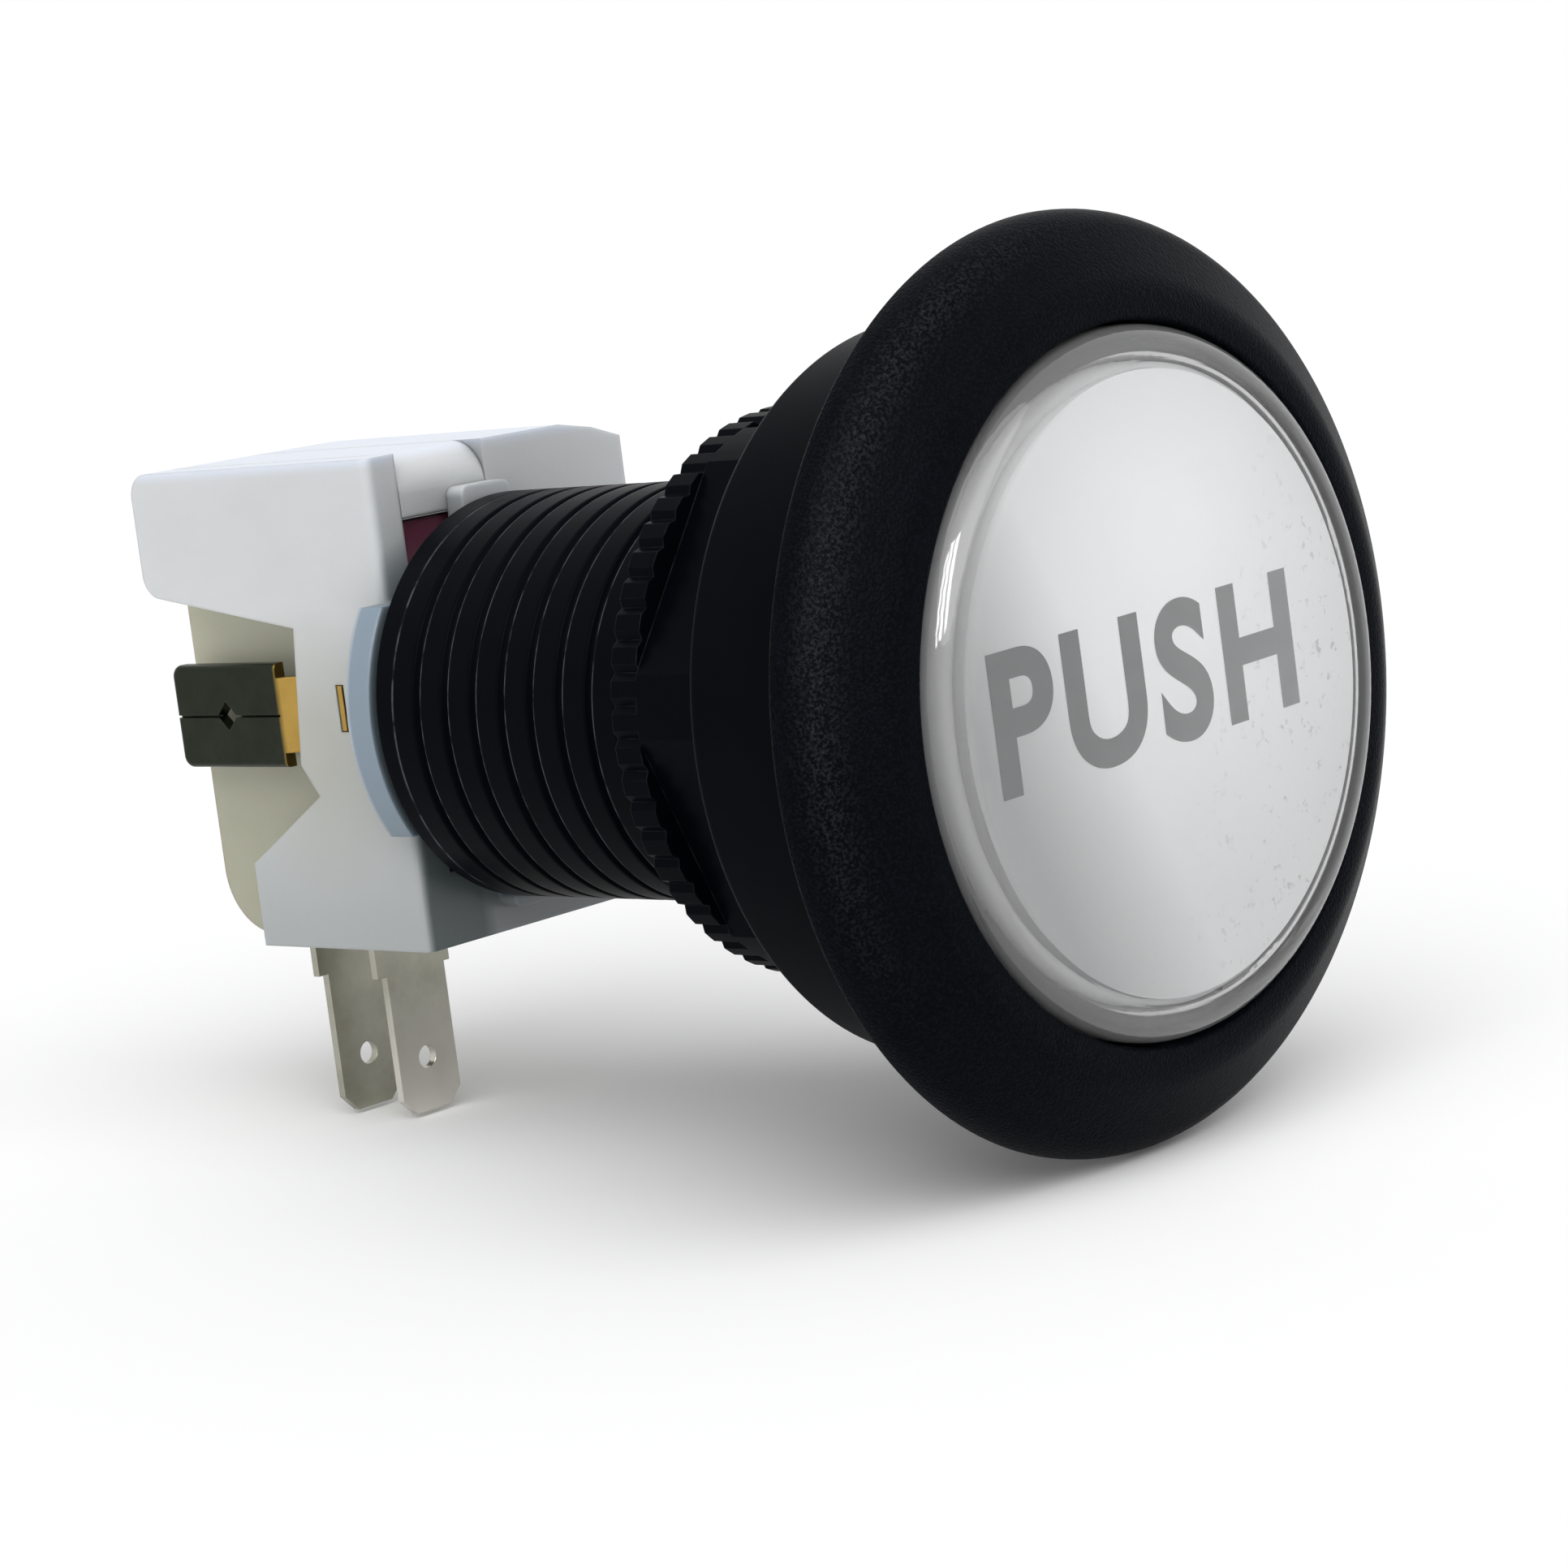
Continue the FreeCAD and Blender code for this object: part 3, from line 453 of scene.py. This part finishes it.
def black_plastic():
    """Moulded black plastic: grain on the bezel, smooth behind it, a painted sheen along the bezel's upper-left
    ridge, painted highlight lines along the thread, and lighter sharp edges that are partly wear and partly
    painted highlight.
    """
    n = Nodes("black_plastic")
    grain = n.noise(5600, 2.0, 0.6)
    patches = n.noise(260, 3.0)
    broken = n.spread(n.noise(900, 3.0), 0.1, 1.0, 0.38, 0.6)
    bezel = n.fade(n.along("Y"), 0.4, -0.2)
    speckle = n.times(n.spread(grain, 0.0, 1.0, 0.44, 0.72), bezel)
    # painted sheen: a lighter grainy band along the bezel's shoulder ridge on its upper left side stands in for a
    # highlight
    sheen_ridge = n.times(n.fade(n.off_axis(), BEZEL_RADIUS - 2.4, BEZEL_RADIUS - 1.1),
                    n.fade(n.off_axis(), BEZEL_RADIUS, BEZEL_RADIUS - 0.7))
    sheen_upper_left = n.fade(n.measure("DOT_PRODUCT", SHEEN_SIDE), 10, 23)
    skin = n.mix(patches, (0.0010, 0.0014, 0.0022), (0.0022, 0.0028, 0.0046))
    skin = n.mix(speckle, skin, (0.0040, 0.0049, 0.0076))
    skin = n.mix(n.times(sheen_ridge, sheen_upper_left, speckle), skin, (0.018, 0.020, 0.025))
    # painted highlight: a broken light line along one edge of each thread groove
    skin = n.mix(thread_glint_line(n, broken), skin, (0.070, 0.074, 0.084))
    # lighter sharp edges: partly edge wear, partly painted highlight
    beyond_barrel = n.fade(n.off_axis(), BARREL_RADIUS + 0.06, BARREL_RADIUS + 0.15)
    worn_and_glinting_edges = n.times(n.edges(0.12 * MM), broken, beyond_barrel)
    n.colour(n.mix(worn_and_glinting_edges, skin, (0.022, 0.024, 0.028)))
    n.rough(n.between(bezel, n.spread(patches, 0.28, 0.40), n.spread(grain, 0.30, 0.44)))
    n.bump(grain, 0.1 * MM, n.spread(bezel, 0.04, 0.8), soft_edge=0.12 * MM)
    n.fixed(IOR=1.5, Specular_IOR_Level=0.016)
    return n.material


def white_nylon():
    """Milky nylon, warmer before the cream block, with painted light and shade: a lighter bluish top, painted
    bluish shade on the collar, greyer painted shade low down and in corners, and a painted shadow under the
    barrel.
    """
    n = Nodes("white_nylon")
    flow = n.noise(190, 4.0, 0.6, (1, 0.45, 1))
    fine = n.noise(2600, 2.0)
    # painted shade: greyer towards the bottom
    low = n.fade(n.along("Z"), 6, -12)
    # painted light: the top face lighter and bluer
    lit_top = n.fade(n.along("Z"), HOLDER_TOP - 0.6, HOLDER_TOP)
    warm = n.spread(n.measure("DISTANCE", CHEEK_WARM * MM), 0.75, 0.0, 2 * MM, 9 * MM)
    # painted shade: darker bluish collar beside the barrel
    collar_shade = n.times(n.fade(n.along("Y"), HOLDER_FRONT + 0.2, HOLDER_FRONT - 0.3),
                     n.fade(n.off_axis(), BARREL_RADIUS + 0.25, BARREL_RADIUS + 0.05),
                     n.fade(n.along("Z"), COLLAR_LUG, COLLAR_LUG - 1.5))
    # painted shadow: dark front face under the barrel
    shadow_under_barrel = n.times(n.spread(n.along("Y"), 0.85, 0.0, (HOLDER_FRONT + 0.03) * MM, (HOLDER_FRONT + 0.3) * MM),
                    n.fade(n.along("Z"), -6.5, -9.5),
                    n.fade(n.along("X"), -2.4, -3.5))
    skin = n.mix(flow, (0.555, 0.57, 0.58), (0.635, 0.65, 0.655))
    skin = n.mix(low, skin, (0.455, 0.475, 0.475))
    skin = n.mix(warm, skin, (0.40, 0.40, 0.35))
    skin = n.mix(lit_top, skin, (0.66, 0.70, 0.78))
    skin = n.mix(collar_shade, skin, (0.200, 0.260, 0.315))
    skin = n.mix(shadow_under_barrel, skin, (0.09, 0.115, 0.11))
    # painted shade: darker in corners, recesses and near other parts, from ambient occlusion
    corner = n.add("ShaderNodeAmbientOcclusion", samples=8)
    corner.inputs["Distance"].default_value = 24 * MM
    n.colour(n.mix(corner.outputs["AO"], (0.05, 0.065, 0.065), skin))
    n.rough(n.spread(fine, 0.34, 0.48))
    n.bump(fine, 0.02 * MM, 0.25, soft_edge=0.3 * MM)
    n.fixed(Subsurface_Weight=0.35, Subsurface_Scale=1.2 * MM, IOR=1.53)
    n.shader.inputs["Subsurface Radius"].default_value = (0.9, 1.0, 1.25)
    return n.material


def white_plastic():
    """Plain white moulding of the plunger."""
    n = Nodes("white_plastic")
    flow = n.noise(160, 3.0)
    fine = n.noise(2200, 2.0)
    n.colour(n.mix(flow, (0.60, 0.60, 0.605), (0.70, 0.70, 0.70)))
    n.rough(n.spread(fine, 0.35, 0.5))
    n.bump(fine, 0.02 * MM, 0.25)
    return n.material


def beige_plastic():
    """Natural cream plastic of the terminal block, lighter towards its upper end."""
    n = Nodes("beige_plastic")
    flow = n.noise(240, 4.0, 0.6)
    fine = n.noise(3000, 2.0)
    high = n.fade(n.along("Z"), -7, 4)
    skin = n.mix(flow, (0.34, 0.34, 0.250), (0.41, 0.41, 0.320))
    n.colour(n.mix(high, skin, (0.53, 0.53, 0.405)))
    n.rough(n.spread(fine, 0.42, 0.56))
    n.bump(fine, 0.02 * MM, 0.3, soft_edge=0.3 * MM)
    n.fixed(Subsurface_Weight=0.2, Subsurface_Scale=0.8 * MM)
    return n.material


def maroon_plastic():
    """Dark red moulding of the switch slider."""
    n = Nodes("maroon_plastic")
    fine = n.noise(1800, 3.0)
    n.colour(n.mix(fine, (0.046, 0.006, 0.018), (0.075, 0.010, 0.028)))
    n.rough(n.spread(fine, 0.35, 0.5))
    n.bump(fine, 0.015 * MM, 0.3, soft_edge=0.15 * MM)
    return n.material


def clear_plastic():
    """Clear lens, polished, with a slight ripple and a milky rim."""
    n = Nodes("clear_plastic")
    ripple = n.noise(60, 1.0)
    rim = n.fade(n.off_axis(), LENS_RIM - 1.2, LENS_RIM)
    n.colour(n.mix(rim, (0.97, 0.975, 0.98), (0.46, 0.46, 0.46)))
    n.link(n.spread(rim, 1.0, 0.80), n.shader.inputs["Transmission Weight"])
    n.rough(n.spread(ripple, 0.02, 0.05))
    n.bump(ripple, 0.02 * MM, 0.2)
    n.fixed(IOR=1.49)
    return n.material


def insert_white():
    """White disc with a painted pool of light above its middle and painted shade greying it to the lower left,
    with dust at its right side.
    """
    n = Nodes("insert_white")
    cloud = n.noise(70, 2.0)
    fine = n.noise(2400, 2.0)
    # painted light: a pool of light above the disc's middle, with painted shade towards the lower left
    light_pool = n.spread(n.measure("DISTANCE", DISC_LIGHT_POOL * MM), 1.0, 0.58, 2 * MM, 20 * MM)
    rim_shade = n.fade(n.measure("DOT_PRODUCT", FROM_LOWER_LEFT), -14, -5)
    white = n.mix(cloud, (0.82, 0.82, 0.82), (0.88, 0.88, 0.88))
    skin = n.mix(n.times(light_pool, rim_shade), (0.32, 0.32, 0.32), white)
    right = n.fade(n.measure("DOT_PRODUCT", LOWER_RIGHT), 2, 13)
    dust = n.times(n.spread(n.noise(1500, 3.0, 0.7), 0.0, 1.0, 0.60, 0.70), right)
    n.colour(n.mix(dust, skin, (0.42, 0.42, 0.42)))
    n.rough(n.spread(fine, 0.45, 0.6))
    n.bump(fine, 0.01 * MM, 0.2)
    return n.material


def legend_ink():
    """Grey print, worn thinner towards its right end."""
    n = Nodes("legend_ink")
    wear = n.noise(900, 4.0, 0.7)
    right = n.fade(n.along("X"), -8, 14)
    dark = n.mix(wear, (0.075, 0.075, 0.077), (0.125, 0.125, 0.128))
    light = n.mix(wear, (0.16, 0.16, 0.162), (0.24, 0.24, 0.242))
    n.colour(n.mix(right, dark, light))
    n.rough(n.spread(wear, 0.5, 0.7))
    return n.material


def plated_metal():
    """Nickel-plated terminal strip with drawing lines along its length and a brighter front tip."""
    n = Nodes("plated_metal")
    lines = n.noise(1500, 3.0, 0.6, (1, 1, 0.06))
    spots = n.noise(420, 4.0, 0.65)
    bright_tip = n.times(n.fade(n.along("Z"), TAB_TIP + 7, TAB_TIP),
                         n.spread(n.along("Y"), 0.8, 0.0, 52 * MM, 55 * MM))
    skin = n.mix(spots, (0.26, 0.255, 0.205), (0.44, 0.435, 0.37))
    n.colour(n.mix(bright_tip, skin, (0.66, 0.64, 0.59)))
    n.rough(n.spread(lines, 0.22, 0.42))
    n.bump(lines, 0.012 * MM, 0.35, soft_edge=0.08 * MM)
    n.fixed(Metallic=1.0)
    return n.material


def contact_brass():
    """Brass strip, with the folded tab painted dark olive as shade."""
    n = Nodes("contact_brass")
    lines = n.noise(1300, 3.0, 0.6, (1, 0.06, 1))
    spots = n.noise(500, 4.0, 0.65)
    tab = n.fade(n.along("Y"), TAB_FRONT, TAB_FRONT + 0.4)
    gold = n.mix(spots, (0.30, 0.185, 0.04), (0.46, 0.30, 0.08))
    # painted shade: the folded tab's brass painted dark olive
    shaded_olive = n.mix(spots, (0.011, 0.014, 0.008), (0.030, 0.034, 0.023))
    n.colour(n.mix(tab, gold, shaded_olive))
    n.rough(n.spread(lines, 0.24, 0.42))
    n.bump(lines, 0.012 * MM, 0.35, soft_edge=0.12 * MM)
    n.fixed(Metallic=1.0)
    return n.material


def spring_steel():
    """Bright wire of the coil springs."""
    n = Nodes("spring_steel")
    lines = n.noise(2200, 2.0)
    n.colour(n.mix(lines, (0.45, 0.45, 0.47), (0.62, 0.62, 0.64)))
    n.rough(n.spread(lines, 0.22, 0.38))
    n.fixed(Metallic=1.0)
    return n.material


def lamp_glass():
    """Clear glass of the wedge lamp."""
    n = Nodes("lamp_glass")
    ripple = n.noise(300, 2.0)
    n.rough(n.spread(ripple, 0.01, 0.05))
    n.fixed(Base_Color=(0.95, 0.96, 0.95, 1), Transmission_Weight=1.0, IOR=1.5)
    return n.material


def paint(piece, material):
    piece.data.materials.clear()
    piece.data.materials.append(material)


def pale_floor():
    """Floor just under the lowest point of the bezel, where it takes the shadow."""
    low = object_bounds()[0][2]
    bm = bmesh.new()
    bmesh.ops.create_grid(bm, x_segments=1, y_segments=1, size=FLOOR_REACH)
    mesh = bpy.data.meshes.new("floor")
    bm.to_mesh(mesh)
    bm.free()
    floor = add_object("floor", mesh)
    floor.location = (0, 0, low - FLOOR_DROP)
    n = Nodes("floor_pale")
    n.colour(n.mix(n.noise(3.0), (0.90, 0.90, 0.905), (0.92, 0.92, 0.92)))
    n.fixed(Roughness=0.9)
    paint(floor, n.material)


def aim(lamp, direction):
    lamp.rotation_euler = direction.to_track_quat("-Z", "Y").to_euler()


def lamps():
    """Soft sun, and a window of three panes that shows in glossy surfaces only."""
    sun = bpy.data.lights.new("sun", "SUN")
    sun.energy = SUN_STRENGTH
    sun.angle = SUN_SPREAD
    aim(add_object("sun", sun), -SUN_FROM)
    for k in range(PANES):
        pane = bpy.data.lights.new("window", "AREA")
        pane.shape = "RECTANGLE"
        pane.size = PANE_WIDTH
        pane.size_y = PANE_HEIGHT
        pane.energy = PANE_POWER
        lamp = add_object("window", pane)
        lamp.location = WINDOW_PLACE + WINDOW_SIDE * PANE_STEP * (k - (PANES - 1) / 2)
        aim(lamp, WINDOW_AIM - lamp.location)
        lamp.visible_diffuse = False
        lamp.visible_transmission = False


def surround():
    """White where it is seen, mirrored or looked at through the lens, and a softer light elsewhere."""
    world = bpy.data.worlds.new("surround")
    bpy.context.scene.world = world
    world.use_nodes = True
    tree = world.node_tree
    tree.nodes.clear()
    path = tree.nodes.new("ShaderNodeLightPath")
    seen = path.outputs["Is Camera Ray"]
    for ray in ("Is Transmission Ray", "Is Glossy Ray"):
        either = tree.nodes.new("ShaderNodeMath")
        either.operation = "MAXIMUM"
        tree.links.new(seen, either.inputs[0])
        tree.links.new(path.outputs[ray], either.inputs[1])
        seen = either.outputs["Value"]
    choice = tree.nodes.new("ShaderNodeMixShader")
    tree.links.new(seen, choice.inputs["Fac"])
    for socket, level in ((choice.inputs[1], SOFT_LEVEL), (choice.inputs[2], WHITE_LEVEL)):
        light = tree.nodes.new("ShaderNodeBackground")
        light.inputs["Color"].default_value = (1, 1, 1, 1)
        light.inputs["Strength"].default_value = level
        tree.links.new(light.outputs["Background"], socket)
    out = tree.nodes.new("ShaderNodeOutputWorld")
    tree.links.new(choice.outputs["Shader"], out.inputs["Surface"])


def camera():
    """Camera before the button and to its left, rolled so that the button leans in the picture."""
    place = CAMERA_PLACE * MM
    right, down = CAMERA_RIGHT, CAMERA_DOWN
    forward = right.cross(down)
    data = bpy.data.cameras.new("photo_camera")
    data.sensor_width = CAMERA_SENSOR
    data.lens = CAMERA_LENS
    data.clip_start = CAMERA_NEAR
    data.clip_end = CAMERA_FAR
    eye = add_object("photo_camera", data)
    eye.matrix_world = Matrix((
        (right.x, -down.x, -forward.x, place.x),
        (right.y, -down.y, -forward.y, place.y),
        (right.z, -down.z, -forward.z, place.z),
        (0, 0, 0, 1),
    ))
    bpy.context.scene.camera = eye


black = black_plastic()
nylon = white_nylon()
steel = spring_steel()
nickel = plated_metal()
brass = contact_brass()
finishes = {
    "mounting_nut": black,
    "lens": clear_plastic(),
    "legend_insert": insert_white(),
    "plunger": white_plastic(),
    "return_spring": steel,
    "holder_body": nylon,
    "switch_cover": nylon,
    "terminal_block": beige_plastic(),
    "switch_slider": maroon_plastic(),
    "contact_wiper": brass,
    "slider_spring": steel,
    "front_terminal": nickel,
    "rear_terminal": nickel,
    "lamp_terminal_near": brass,
    "lamp_terminal_far": brass,
    "wedge_lamp": lamp_glass(),
}
for node_name, finish in finishes.items():
    paint(nodes[node_name], finish)
paint(housing_shell(), black)
paint(legend(), legend_ink())
smooth_dome(nodes["lens"])
shorten_springs()
pale_floor()
lamps()
surround()
camera()
bpy.context.scene.view_settings.view_transform = "Standard"
